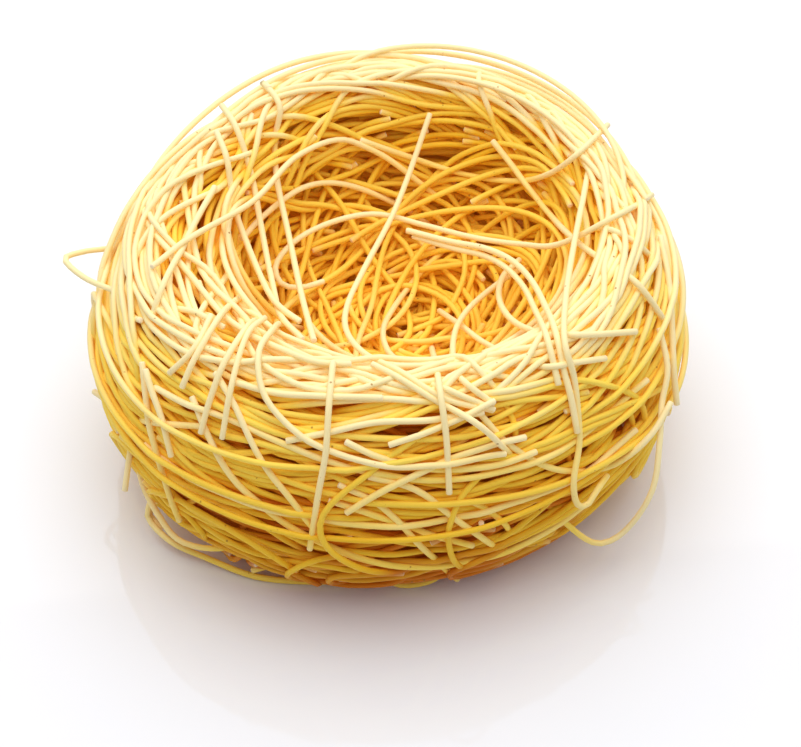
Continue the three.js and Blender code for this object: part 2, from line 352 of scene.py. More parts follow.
LOOSE_STRANDS = {
    "left_loop": (0.6, [(150, 222, 22), (122, 243, 21.5), (84, 250, 22.5), (66, 257, 23.5),
                        (84, 275, 23.5), (120, 291, 24.5), (157, 304, 27), (200, 318), (222, 330)]),
    "right_loop": (0.8, [(372, 372), (405, 386), (445, 404), (480, 426, 27), (519, 465, 20),
                         (558, 517, 10), (597, 545, 5), (618, 538, 5.5), (651, 495, 11),
                         (660, 441, 16), (662, 404, 18.5), (668, 372, 21), (660, 330, 24)]),
    "left_drop": (0.8, [(212, 190), (185, 240), (164, 297), (145, 345, 24.5), (135, 394, 17),
                        (130, 445, 12), (124, 489, 8)]),
    "left_bulge": (0.6, [(94, 390, 12), (121, 409, 13), (157, 419), (205, 424)]),
    "left_side": (0.9, [(150, 361), (157, 421), (169, 470), (185, 513)]),
    "right_end": (0.6, [(655, 240), (671, 300, 24), (673, 365, 20), (677, 406, 16)]),
    "right_band": (0.7, [(440, 392), (473, 408), (501, 439), (532, 460), (564, 469), (608, 463),
                         (651, 436, 17), (671, 404, 19)]),
    "over_right": (0.8, [(593, 140), (585, 195, 29.5), (573, 254, 29), (566, 301, 29),
                         (565, 348, 29.6), (569, 380), (573, 441), (573, 484, 17), (577, 506, 14),
                         (586, 507, 13), (597, 491, 14), (601, 473)]),
    "bright_curl": (1.0, [(408, 231, 22.5), (451, 242, 23), (486, 249, 23.8), (512, 261, 24.8),
                          (531, 280, 26), (545, 306, 27.6), (555, 346), (562, 384), (571, 430)]),
    "bright_curl_mate": (1.0, [(414, 236, 22), (452, 248, 22.4), (484, 256, 23), (506, 268, 24),
                               (523, 286, 25), (536, 312, 26.6), (546, 350), (552, 386)]),
    "mouth_sweep": (0.6, [(432, 113), (411, 172, 23.5), (394, 214, 22), (363, 272, 21.5),
                          (348, 304, 22), (346, 328, 23.6), (363, 352, 26.5), (399, 377),
                          (440, 397), (492, 408)]),
    "mouth_cross": (0.6, [(324, 281, 19), (302, 287, 19), (283, 284, 19.4), (276, 267, 20),
                          (293, 243, 20.5), (327, 224, 21), (375, 214, 21), (427, 226, 20.8),
                          (474, 238, 21.6), (522, 245, 23.4), (557, 246, 26), (616, 223),
                          (647, 200)]),
    "back_hairpin": (0.9, [(273, 96), (266, 89), (280, 110), (277, 137, 28.4), (278, 175, 26),
                           (290, 236, 23.4), (302, 294, 23), (314, 340, 25)]),
    "left_chord": (0.8, [(228, 112), (237, 132), (254, 180, 27), (261, 219, 24.8), (271, 272, 23.4),
                         (283, 316, 24.2), (302, 338, 25.4)]),
    "left_chord_two": (0.8, [(220, 138), (225, 161), (234, 200, 26.8), (254, 258, 24.4),
                             (278, 306, 24), (300, 322, 24)]),
    "back_left_arc": (1.0, [(157, 272), (196, 238), (255, 200, 28), (300, 155, 27), (340, 137),
                            (375, 148), (440, 195)]),
    "back_wall_arc": (0.9, [(236, 240), (255, 218), (300, 185), (340, 182), (400, 205), (450, 240)]),
    "back_high_arc": (0.8, [(360, 140), (415, 157), (474, 174), (522, 181), (557, 174), (581, 160),
                            (604, 132)]),
    "back_right_fall": (0.9, [(498, 140), (522, 169), (557, 214), (592, 252), (628, 285),
                              (655, 320)]),
    "right_hook": (1.0, [(520, 262, 18), (503, 278, 19.5), (500, 301, 21), (522, 327, 25),
                         (569, 339), (628, 334)]),
    "deep_hook": (0.8, [(540, 258, 17), (507, 278, 17.5), (474, 304, 17.5), (458, 325, 18.8),
                        (453, 356, 22.5), (463, 384), (490, 405)]),
    "middle_hook": (0.8, [(446, 249, 15), (411, 285, 14.5), (385, 325, 15.6), (387, 349, 18.4),
                          (404, 365, 22.6), (440, 392), (490, 412)]),
    "inner_front": (0.8, [(440, 312, 14), (460, 325, 17), (486, 344, 20), (545, 367), (600, 360)]),
    "crest_end": (1.2, [(432, 352), (438, 391), (444, 440), (446, 487)]),
    "front_long": (0.8, [(161, 385), (193, 402), (230, 416), (278, 438), (327, 458), (375, 472),
                         (438, 477), (488, 470), (560, 446), (640, 380)]),
    "left_nail": (1.3, [(156, 368), (162, 387), (171, 416), (180, 450)]),
    "pin_one": (1.1, [(258, 322), (242, 339), (230, 363), (215, 402), (208, 428)]),
    "pin_two": (1.5, [(258, 330), (245, 345), (239, 385), (230, 433)]),
    "pin_three": (1.2, [(232, 300), (215, 328), (202, 358), (190, 385)]),
    "pin_four": (0.9, [(210, 322), (200, 350), (176, 372)]),
    "crest_hook": (1.2, [(330, 352), (317, 341), (290, 334), (268, 341), (259, 361), (268, 392),
                         (290, 421), (322, 443), (375, 458), (438, 460), (500, 446)]),
    "crest_short": (1.0, [(290, 438), (327, 431), (375, 421), (431, 419), (480, 410)]),
    "crest_stub": (1.2, [(389, 441), (436, 427), (490, 400)]),
    "front_stub": (1.0, [(347, 438), (382, 455), (430, 466), (486, 462), (530, 448)]),
    "rim_end": (0.9, [(236, 380), (280, 392), (327, 395), (382, 398)]),
    "rim_end_two": (0.9, [(240, 336), (278, 356), (312, 369), (350, 372)]),
    "front_stray": (1.1, [(347, 506), (375, 489), (407, 473), (460, 452), (520, 436)]),
    "front_drop": (1.2, [(332, 372), (331, 402), (327, 450), (319, 494), (312, 539)]),
    "front_cross": (0.9, [(220, 372), (239, 404), (266, 458), (290, 489), (329, 542)]),
    "low_arc": (0.7, [(196, 395), (210, 428), (230, 465), (254, 494), (302, 528), (339, 545),
                      (400, 560), (467, 556), (510, 543), (553, 521), (580, 500)]),
    "mid_arc": (0.7, [(150, 440), (181, 465), (230, 489), (278, 506), (327, 516), (375, 521),
                      (438, 518), (510, 499), (575, 473), (630, 430)]),
    "foot_left": (0.4, [(135, 445, 10), (142, 482, 7), (157, 513, 5), (176, 538, 3.5),
                        (212, 548, 4), (250, 540, 6)]),
    "foot_left_loop": (0.4, [(160, 528, 2), (147, 511, 3), (157, 499, 5), (176, 508, 5.4),
                             (205, 533, 5), (234, 545, 6), (266, 542, 7), (285, 525, 9)]),
    "foot_left_low": (0.4, [(150, 500, 5), (147, 515, 3), (169, 540, 2), (205, 557, 1.2),
                            (254, 576, 0.6), (302, 581, 0.6), (346, 579, 1), (380, 566, 3)]),
    "foot_stub": (0.5, [(251, 570, 1.6), (278, 562, 3), (314, 542, 6), (350, 536)]),
    "foot_curl": (0.4, [(350, 556, 5), (384, 580, 1.4), (402, 586, 0.6), (434, 580, 1.6),
                        (455, 556, 6)]),
    "foot_end_one": (0.7, [(340, 480), (380, 502), (423, 545), (456, 579, 1.5)]),
    "foot_end_two": (0.8, [(370, 470), (413, 484), (445, 508), (478, 532), (514, 559, 2.5)]),
    "foot_end_three": (0.6, [(330, 496), (370, 510), (413, 526), (470, 541)]),
    "foot_small_curl": (0.5, [(470, 500), (488, 510), (504, 524), (498, 540, 5), (482, 536, 5),
                              (478, 520)]),
}


def route_of(form, lift, points):
    """The line of one strand of the picture, in mm."""
    pixels = np.array([p[:2] for p in points], float)
    height = np.array([p[2] if len(p) > 2 else np.nan for p in points])
    on = np.isnan(height)
    place = seen_at_height(pixels, np.where(on, 0, height))
    touched = seen_on(form, pixels)
    _, way = form.outward(touched)
    place[on] = (touched + way * lift)[on]
    return even_steps(smooth_line(place), NODE_STEP)


# ---- Strands wound by rule ----------------------------------------------------------------------

NODE_STEP = 1.0  # mm between the points of a strand
ANGLE_STEP = np.radians(3)
STRAYS = 90
CURLS = 88
LOW_CURLS = 64  # of them are tight ones near the foot
STAND_OFFS = 22
BACK_LOOPS = 14
HOLLOW_ARCS = 84
FOOT_LOOPS = 56
SIDE_END = 0.28  # share of the section, from the foot, where the side becomes the rim
RIM_END = 0.5  # and where the rim becomes the inner wall
PACKED_LAYERS = ((1, 2.8), (-1, 3.5))  # the way that each is wound, and its depth in mm
PACKED_PITCH = 0.95  # mm from turn to turn
GOLDEN = 0.618034  # steps of this much of a whole never fall on the same places
PLASTIC = 0.7548777  # the same, and out of step with the golden one


def slow_waves(rng, angle, sizes, turns):
    """A sum of sines of the angle, of these sizes and about so many waves a turn."""
    phase = rng.uniform(0, 2 * np.pi, len(sizes))
    rate = np.asarray(turns) * rng.uniform(0.8, 1.2, len(sizes))
    return sum(a * np.sin(f * angle + p) for a, f, p in zip(sizes, rate, phase))


def ends_out(rng, angle, deep, radius, stray):
    """Depth along a strand whose two ends leave their depth over the last stretch, and stand out by
    so much, or dive where that is negative."""
    for at in (angle[0], angle[-1]):
        near = 1 - smoothstep(np.abs(angle - at) * radius, 0, rng.uniform(9, 20))
        deep = deep * (1 - near) - stray(rng) * near
    return deep


def wound_tow(rng, form, home, depth, strands):
    """The lines of one tow: strands that go round the nest side by side. Each one's place along
    the section and its depth are slow waves of the angle, shared by the tow, with small ones of
    its own. Ends of strands drift up out of the nest or dive into it."""
    start = rng.uniform(0, 2 * np.pi)
    sweep = rng.uniform(1.6, 4.0) * 2 * np.pi
    sense = 1 if rng.random() < 0.78 else -1
    drift = rng.uniform(-0.3, 0.3) * rng.random()
    tow_angle = np.arange(-1.0, sweep + 2.0, ANGLE_STEP)
    waves = slow_waves(rng, tow_angle, (4.6, 2.8, 1.3), (1, 2.1, 3.4))
    tow_share = home + drift * tow_angle / sweep + waves / form.length
    tow_depth = depth + slow_waves(rng, tow_angle, (0.8, 0.5), (1.3, 2.7))
    lines = []
    for _ in range(strands):
        begin = rng.uniform(0, 0.9)
        end = sweep * rng.uniform(0.7, 1) + rng.uniform(0, 0.8)
        angle = np.arange(begin, end, ANGLE_STEP)
        own = 2.2 * rng.normal() + slow_waves(rng, angle, (2.6, 1.7, 0.8), (0.8, 2.3, 4.1))
        share = np.interp(angle, tow_angle, tow_share) + own / form.length
        deep = np.interp(angle, tow_angle, tow_depth) + 0.8 * rng.normal()
        deep = deep + slow_waves(rng, angle, (0.5, 0.3), (1.7, 3.9))
        deep = ends_out(rng, angle, np.maximum(deep, 0.3), form.radius, lambda r: r.uniform(-2.8, 0.5))
        lines.append(form.at(start + sense * angle, reflect(share, 0.005, 0.9), deep))
    return lines


def stray_strand(rng, form, home):
    """The line of one strand on top of the others, which wanders across them at a slant."""
    sweep = rng.uniform(0.5, 1.4) * 2 * np.pi
    sense = 1 if rng.random() < 0.7 else -1
    angle = np.arange(0, sweep, ANGLE_STEP)
    wander = slow_waves(rng, angle, (7.0, 3.5, 1.2), (0.9, 1.9, 3.7))
    slant = rng.uniform(-0.3, 0.3) * angle / (2 * np.pi)
    share = reflect(home + slant + wander / form.length, 0.03, 0.86)
    deep = 0.1 + slow_waves(rng, angle, (0.4, 0.2), (1.4, 3.3))
    deep = ends_out(rng, angle, deep, form.radius, lambda r: r.uniform(-2.4, 0.6))
    return form.at(rng.uniform(0, 2 * np.pi) + sense * angle, share, deep)


def surface_curl(rng, form, home, radius):
    """The line of one strand that curls in an oval on the nest's surface."""
    turn = rng.uniform(0, 2 * np.pi) + np.arange(0, rng.uniform(1.2, 2.6) * np.pi, 0.1)
    if rng.random() < 0.5:
        turn = turn[::-1]
    wide = radius * (1.25 + 0.12 * slow_waves(rng, turn, (1, 0.5), (1, 2)))
    high = radius * (0.75 + 0.12 * slow_waves(rng, turn, (1, 0.5), (1, 2)))
    angle = rng.uniform(0, 2 * np.pi) + wide * np.cos(turn) / form.radius
    share = reflect(home + high * np.sin(turn) / form.length, 0.02, 0.8)
    deep = rng.uniform(-0.8, 1.2) + slow_waves(rng, turn, (0.6, 0.3), (0.8, 1.7))
    deep = ends_out(rng, turn, deep, radius, lambda r: r.uniform(-2.4, 0.6))
    return form.at(angle, share, deep)


def stand_off_strand(rng, form):
    """The line of one slack strand that runs round just clear of the rim's outside."""
    sweep = rng.uniform(0.25, 0.8) * 2 * np.pi
    angle = np.arange(0, sweep, ANGLE_STEP)
    home = rng.uniform(0.26, 0.46)
    share = home + slow_waves(rng, angle, (2.5, 1.2), (0.9, 1.7)) / form.length
    bulge = np.sin(np.pi * angle / sweep) ** 0.7
    deep = 0.9 - (0.9 + rng.uniform(0.1, 1.3)) * bulge
    return form.at(rng.uniform(0, 2 * np.pi) + angle, share, deep)


def back_loop(rng, form):
    """The line of one slack strand that stands up over the rim at the back."""
    sweep = rng.uniform(0.9, 2.2)
    angle = np.arange(0, sweep, ANGLE_STEP)
    share = rng.uniform(0.36, 0.5) + slow_waves(rng, angle, (2.0, 1.0), (0.9, 1.7)) / form.length
    bulge = np.sin(np.pi * angle / sweep) ** 0.7
    deep = 1.0 - (1.0 + rng.uniform(0.8, 3.2)) * bulge
    return form.at(np.radians(rng.uniform(55, 130)) - sweep / 2 + angle, share, deep)


def packed_layer(rng, form, depth, sense):
    """The lines of one even layer deep in the nest: a long helix with its turns side by side."""
    turns = 0.9 * form.length / PACKED_PITCH
    angle = np.arange(0, turns * 2 * np.pi, np.radians(5))
    share = 0.03 + 0.9 * angle / angle[-1]
    wave = slow_waves(rng, angle, (2.2, 1.1), (1, 2)) * (1 + 0.2 * np.sin(0.21 * angle))
    line = form.at(sense * angle, reflect(share + wave / form.length, 0.01, 0.95), depth)
    return np.array_split(line, 40)


def reflect(value, low, high):
    """The value folded back where it passes low or high."""
    value = low + np.abs(value - low)
    return high - np.abs(high - value)


def foot_loop(rng):
    """The line of one strand that curves round under the nest, close to the floor."""
    radius = rng.uniform(6, 20)
    off = rng.uniform(1, 6)
    way = rng.uniform(0, 2 * np.pi)
    sweep = min(rng.uniform(0.7, 1.9) * 15 / radius, 3.2) * np.pi
    angle = rng.uniform(0, 2 * np.pi) + np.arange(0, sweep, 0.06)
    wide = radius * (1 + 0.22 * np.cos(2 * angle + rng.uniform(0, 6.28)))
    z = rng.uniform(0.4, 3.9) + 0.5 * slow_waves(rng, angle, (1, 0.5), (1.4, 3.1))
    x = off * np.cos(way) + wide * np.cos(angle)
    y = off * np.sin(way) + wide * np.sin(angle)
    return np.stack([x, y, z], -1)


def hollow_arc(rng, form, lift, past):
    """The line of one strand in the hollow: part of an oval that touches the wall at its own height,
    or goes past it, and that lies on the hollow's strands wherever they are higher."""
    height = form.floor + 1 + (form.height - form.floor - 7) * rng.random() ** 2
    room = form.hollow_radius(height)
    radius = max(room * rng.uniform(0.6, 1.05), 7)
    way = rng.uniform(0, 2 * np.pi)
    off = max(room - radius, 0) + rng.uniform(-1, 2) + past * radius
    sweep = rng.uniform(0.9, 2.0) * np.pi * min(14 / radius, 1.5)
    angle = rng.uniform(0, 2 * np.pi) + np.arange(0, sweep, 0.06)
    wide = radius * (1 + 0.18 * np.cos(2 * angle + rng.uniform(0, 6.28)))
    wide = wide + 0.08 * radius * slow_waves(rng, angle, (1, 0.5), (1.5, 2.6))
    x = off * np.cos(way) + wide * np.cos(angle)
    y = off * np.sin(way) + wide * np.sin(angle)
    r = np.hypot(x, y)
    rim = form.mouth - 1.5
    held = np.where(r > rim - 4, rim - 4 + 4 * np.tanh((r - rim + 4) / 4), r) / r.clip(0.1)
    x, y = form.hollow[0] + x * held, form.hollow[1] + y * held
    lying = form.bowl(x, y)
    waves = slow_waves(rng, angle, (0.5, 0.3), (1.2, 2.6))
    z = lying + np.clip(height - lying, lift, lift + 1.5) + waves
    pad = 12  # points on each side that a height is averaged over
    z = np.convolve(np.pad(z, pad, mode="edge"), np.hanning(2 * pad + 1) / pad, "valid")
    return np.stack([x, y, z], -1)


def planned_strands(s):
    """All strands before they are pushed apart, as a list of (kind, hold, line). hold is how firmly
    a strand keeps its place."""
    form = NestForm(s)
    rng = np.random.default_rng(s.seed)
    strands = [("loose", 1.0, route_of(form, *strand)) for strand in LOOSE_STRANDS.values()]
    laid = 0.0
    turn = 0
    while laid < s.wound / MM:
        home = 0.02 + 0.8 * ((turn * GOLDEN) % 1)
        depth = 0.5 + 3.4 * ((turn * PLASTIC + 0.4) % 1)
        kind = "side" if home < SIDE_END else "rim" if home < RIM_END else "wall"
        for line in wound_tow(rng, form, home, depth, s.tow):
            strands.append((kind, 0.0, line))
            laid += NODE_STEP * len(even_steps(line, NODE_STEP))
        turn += 1
    for k in range(STRAYS):
        home = 0.05 + 0.7 * ((k * GOLDEN) % 1)
        strands.append(("stray", 0.35, stray_strand(rng, form, home)))
    for k in range(CURLS):
        low = k < LOW_CURLS
        home = rng.uniform(0.03, 0.17) if low else rng.uniform(0.15, 0.5)
        kind = "side" if home < SIDE_END else "rim"
        radius = rng.uniform(3.2, 7.5) if low else rng.uniform(8, 17)
        strands.append((kind, 0.4 if low else 0.2, surface_curl(rng, form, home, radius)))
    for _ in range(STAND_OFFS):
        strands.append(("rim", 0.5, stand_off_strand(rng, form)))
    for _ in range(BACK_LOOPS):
        strands.append(("rim", 0.7, back_loop(rng, form)))
    for k in range(HOLLOW_ARCS):
        on_top = k % 2 == 0
        lift = rng.uniform(1.0, 3.6) if on_top else rng.uniform(-0.5, 2.0)
        past = 0.5 * rng.random() if on_top else rng.random()
        strands.append(("hollow", 0.4 if on_top else 0.1, hollow_arc(rng, form, lift, past)))
    for _ in range(FOOT_LOOPS):
        strands.append(("foot", 0.0, foot_loop(rng)))
    return form, [(kind, hold, even_steps(line, NODE_STEP)) for kind, hold, line in strands]


def room_outside(rng, form, line):
    """How far outside the nest's form each point of a strand may be pushed: a little farther than
    it was laid, and no strand is held closer in than a slow wave about the surface."""
    run = np.arange(len(line)) * NODE_STEP / form.radius
    wave = -0.45 + slow_waves(rng, run, (0.4, 0.2), (1.3, 3.1))
    return np.maximum(form.distance(line) + 0.1, wave)


def dots(a, b):
    """The dot product of each row of a with the same row of b."""
    return np.einsum("ij,ij->i", a, b)


def close_pairs(p, reach):
    """Pairs of points less than reach apart. Points are sorted into cubes as wide as the reach, and
    each cube is matched with itself and half of its neighbours."""
    cell = np.floor((p - p.min(0)) / reach).astype(np.int64) + 1
    size = cell.max(0) + 2
    key = (cell[:, 0] * size[1] + cell[:, 1]) * size[2] + cell[:, 2]
    order = np.argsort(key, kind="stable")
    key = key[order]
    found = []
    steps = [(i, j, k) for i in (-1, 0, 1) for j in (-1, 0, 1) for k in (-1, 0, 1)]
    for i, j, k in steps[13:]:
        other = key + (i * size[1] + j) * size[2] + k
        first = np.searchsorted(key, other, "left")
        last = np.searchsorted(key, other, "right")
        if (i, j, k) == (0, 0, 0):
            first = np.maximum(first, np.arange(len(key)) + 1)
        count = np.maximum(last - first, 0)
        before = np.cumsum(count) - count
        a = order[np.repeat(np.arange(len(key)), count)]
        b = order[np.arange(count.sum()) + np.repeat(first - before, count)]
        near = dots(p[a] - p[b], p[a] - p[b]) < reach**2
        found.append(np.stack([a[near], b[near]]))
    return np.concatenate(found, 1)


def tangents(p, first, last):
    """Unit directions along strands. At an end the step to the one neighbour is used."""
    after = np.where(last[:, None], p, np.roll(p, -1, axis=0))
    before = np.where(first[:, None], p, np.roll(p, 1, axis=0))
    way = after - before
    return way / np.linalg.norm(way, axis=1).clip(1e-9)[:, None]


def along_strand(v, first, last):
    """Each point's value averaged with its neighbours': a quarter, a half and a quarter."""
    after = np.where(last[:, None], v, np.roll(v, -1, axis=0))
    before = np.where(first[:, None], v, np.roll(v, 1, axis=0))
    return 0.5 * v + 0.25 * (before + after)


ROUNDS = 80  # in which strands are pushed apart


def push_apart(form, lines, hold, allowed, diameter, rounds):
    """Lines moved apart where strands lie in each other. Every round, two strands that cross are
    parted along the direction square to both, and two that run together square to their run. The
    moves are smoothed along each strand, so that it keeps its curve, and where many strands meet
    some still lie partly in each other at the end."""
    count = np.array([len(line) for line in lines])
    start = np.concatenate(lines)
    strand = np.repeat(np.arange(len(lines)), count)
    first = np.concatenate([[True], strand[1:] != strand[:-1]])
    last = np.concatenate([strand[1:] != strand[:-1], [True]])
    firm = np.repeat(hold, count)
    allowed = np.concatenate(allowed)
    ease = 1 - 0.85 * firm
    move = np.zeros_like(start)
    n = len(start)
    for k in range(rounds):
        p = start + move
        t = tangents(p, first, last)
        if k % 8 == 0:
            a, b = close_pairs(p, 2.2 * diameter)
            apart = (strand[a] != strand[b]) | (np.abs(a - b) > 5)
            a, b = a[apart], b[apart]
        d = p[a] - p[b]
        crossing = np.cross(t[a], t[b])
        sine = np.linalg.norm(crossing, axis=1)
        mean = t[a] + t[b] * np.sign(dots(t[a], t[b]))[:, None]
        mean /= np.linalg.norm(mean, axis=1).clip(1e-9)[:, None]
        beside = d - mean * dots(d, mean)[:, None]
        crossing /= sine.clip(1e-9)[:, None]
        sign = np.where(dots(d, crossing) < 0, -1.0, 1.0)
        crossing *= sign[:, None]
        over = dots(d, crossing)
        in_plane = np.sqrt(np.maximum(dots(d, d) - over**2, 0))
        wide = np.linalg.norm(beside, axis=1)
        steep = sine > 0.3
        way = np.where(steep[:, None], crossing, beside / wide.clip(1e-6)[:, None])
        gap = np.where(steep, diameter - over, diameter - wide)
        reach = np.where(steep, in_plane, np.abs(dots(d, mean))) < 0.75 * NODE_STEP
        push = np.where(reach & (gap > 0), gap, 0)[:, None] * way
        share = (ease[a] / (ease[a] + ease[b]))[:, None]
        hit = push[:, 0] ** 2 + push[:, 1] ** 2 + push[:, 2] ** 2 > 0
        ends = np.concatenate([a[hit], b[hit]])
        given = np.concatenate([(push * share)[hit], (-push * (1 - share))[hit]])
        touching = np.bincount(ends, minlength=n).clip(1)
        shift = np.stack([np.bincount(ends, given[:, i], n) for i in range(3)], -1)
        move += 0.9 * shift / np.sqrt(touching)[:, None]
        out, way = form.outward(start + move)
        beyond = np.maximum(out - allowed, 0)
        move -= (0.35 * beyond)[:, None] * way
        move *= (1 - 0.06 * firm)[:, None]
        for _ in range(2 if k < rounds - 12 else 1):
            move = along_strand(move, first, last)
        low = np.maximum(diameter / 2 - (start + move)[:, 2], 0)
        move[:, 2] += low
    p = start + move
    return np.split(p, np.cumsum(count)[:-1])


# Painted shade: these set how far each point of a strand is painted darker and more orange, by how
# little light would reach it.
SHADE_CELL = 1.5  # mm, of the grid in which strands are counted
SHADE_RAYS = 90
SHADE_PER_NODE = 0.05  # light lost to each point of a strand that it passes
LIGHT_TILT = 50  # degrees from straight above towards the back, to where the room is brightest
SIDE_LIGHT = 0.2  # of that light comes in square to it
FLOOR_LIGHT = 0.8  # of the light on the floor comes back up
FLOOR_SHADE = (34, 8)  # mm, the radius that the nest shades and how soft its edge is
LOOSE_SHADE = 0.70  # loose strands touch few others, so that light gets at them from all sides
LAYER_SHADE = 0.11  # darker for each mm under the nest's surface
HOLLOW_SHADE = 0.71  # the most in the hollow, where the walls light each other


@lru_cache(maxsize=2)
def wound_nest(key):
    """The finished lines of all strands, in mm, with the painted shade of each point, by kind: how
    little light reaches it, which the strands' colour is painted with. The key only tells one winding
    from the next."""
    s = bpy.context.scene.nest
    form, strands = planned_strands(s)
    rng = np.random.default_rng(s.seed + 1)
    kinds = [kind for kind, _, _ in strands]
    lines = push_apart(
        form,
        [line for _, _, line in strands],
        np.array([hold for _, hold, _ in strands]),
        [room_outside(rng, form, line) for _, _, line in strands],
        s.strand / MM,
        ROUNDS,
    )
    for sense, depth in PACKED_LAYERS:
        layer = packed_layer(rng, form, depth, sense)
        lines += layer
        kinds += ["packed"] * len(layer)
    nest = {}
    for kind, line, painted_shade in zip(kinds, lines, painted_shade_shares(lines)):
        under = np.clip(-form.distance(line) - 0.6, -0.6, 1.2)
        painted_shade = painted_shade * (LOOSE_SHADE if kind == "loose" else 1) + LAYER_SHADE * under
        from_middle = np.hypot(*(line[:, :2] - form.hollow).T)
        within = 1 - smoothstep(from_middle, form.mouth - 1, form.crest)
        painted_shade = painted_shade - within * np.maximum(painted_shade - HOLLOW_SHADE, 0)
        nest.setdefault(kind, []).append((line, painted_shade))
    return nest


def painted_shade_shares(lines):
    """How deep each point lies among the strands, 0 in the open and 1 where no light gets to it: the
    painted shade that the strands' colour is given. The strands are counted in a grid of cubes, which
    is blurred. From each point rays go out on all sides, and each adds the brightness of its side times
    e to the power of minus the count that it passes. A ray that meets the floor adds less, and least
    where the nest shades the floor."""
    p = np.concatenate(lines)
    low = p.min(0) - 4 * SHADE_CELL
    cells = np.ceil((p.max(0) + 4 * SHADE_CELL - low) / SHADE_CELL).astype(int)
    at = ((p - low) / SHADE_CELL).astype(int)
    flat = (at[:, 0] * cells[1] + at[:, 1]) * cells[2] + at[:, 2]
    full = np.bincount(flat, minlength=cells.prod()).reshape(cells).astype(float)
    for axis in range(3):
        full = 0.5 * full + 0.25 * (np.roll(full, 1, axis) + np.roll(full, -1, axis))
    k = np.arange(SHADE_RAYS) + 0.5
    rise = 1 - 2 * k / SHADE_RAYS
    turn = k * np.pi * (3 - np.sqrt(5))
    side = np.sqrt(1 - rise**2)
    rays = np.stack([side * np.cos(turn), side * np.sin(turn), rise], -1)
    tilt = np.radians(LIGHT_TILT)
    bright = SIDE_LIGHT + (1 - SIDE_LIGHT) * (rays @ [0, np.sin(tilt), np.cos(tilt)])
    bright = np.maximum(bright, 0) * np.where(rise < 0, FLOOR_LIGHT, 1)
    light = np.zeros(len(p))
    for ray, share in zip(rays[bright > 0], bright[bright > 0]):
        passed = np.zeros(len(p))
        for far in np.arange(1.2, 36, 1.5):
            point = p + ray * far
            step = ((point - low) / SHADE_CELL).astype(int)
            inside = ((step >= 0) & (step < cells)).all(1) & (point[:, 2] > 0)
            step = np.where(inside[:, None], step, 0)
            passed += full[step[:, 0], step[:, 1], step[:, 2]] * inside
        if ray[2] < 0:
            met = p[:, :2] - ray[:2] * (p[:, 2] / ray[2])[:, None]
            shaded = np.maximum(FLOOR_SHADE[0] - np.hypot(*met.T), 0)
            share = share * np.exp(-shaded / FLOOR_SHADE[1])
        light += share * np.exp(-SHADE_PER_NODE * passed)
    return np.split(1 - light / bright.sum(), np.cumsum([len(line) for line in lines])[:-1])


def nest_key():
    """What the winding depends on."""
    s = bpy.context.scene.nest
    return tuple(getattr(s, name) for name in s.__annotations__)


# ---- Meshes -------------------------------------------------------------------------------------

CAP_RUN = (0.10, 0.05)  # mm past a cut end, of the two rings that round it off
CAP_SIZE = (0.62, 0.9)  # of the strand's radius there
CAP_FLOUR = (1.0, 0.8, 0.25)  # how floury the last three rings are


def with_caps(line, *values):
    """A strand's line with two more points past each end, and its values carried on to them."""
    head = line[0] - line[1]
    tail = line[-1] - line[-2]
    head /= np.linalg.norm(head)
    tail /= np.linalg.norm(tail)
    far, near = CAP_RUN
    longer = np.vstack([line[0] + head * far, line[0] + head * near, line,
                        line[-1] + tail * near, line[-1] + tail * far])
    return (longer, *(np.pad(v, 2, mode="edge") for v in values))


def ring_frames(p, first, last):
    """Two directions across each strand at each of its points, without twist. Any pair is taken,
    and turned back by the running sum of the turns from one point to the next."""
    t = tangents(p, first, last)
    pick = np.abs(t[:, 2]) > 0.9
    ref = np.where(pick[:, None], [1.0, 0, 0], [0, 0, 1.0])
    u = np.cross(ref, t)
    u /= np.linalg.norm(u, axis=1)[:, None]
    v = np.cross(t, u)
    carried = np.roll(u, 1, axis=0)
    carried -= t * dots(carried, t)[:, None]
    turn = np.arctan2(dots(carried, v), dots(carried, u))
    turn[first] = 0
    total = np.cumsum(turn)
    group = np.cumsum(first) - 1
    total -= total[first][group]
    c, s = np.cos(total)[:, None], np.sin(total)[:, None]
    return u * c + v * s, v * c - u * s


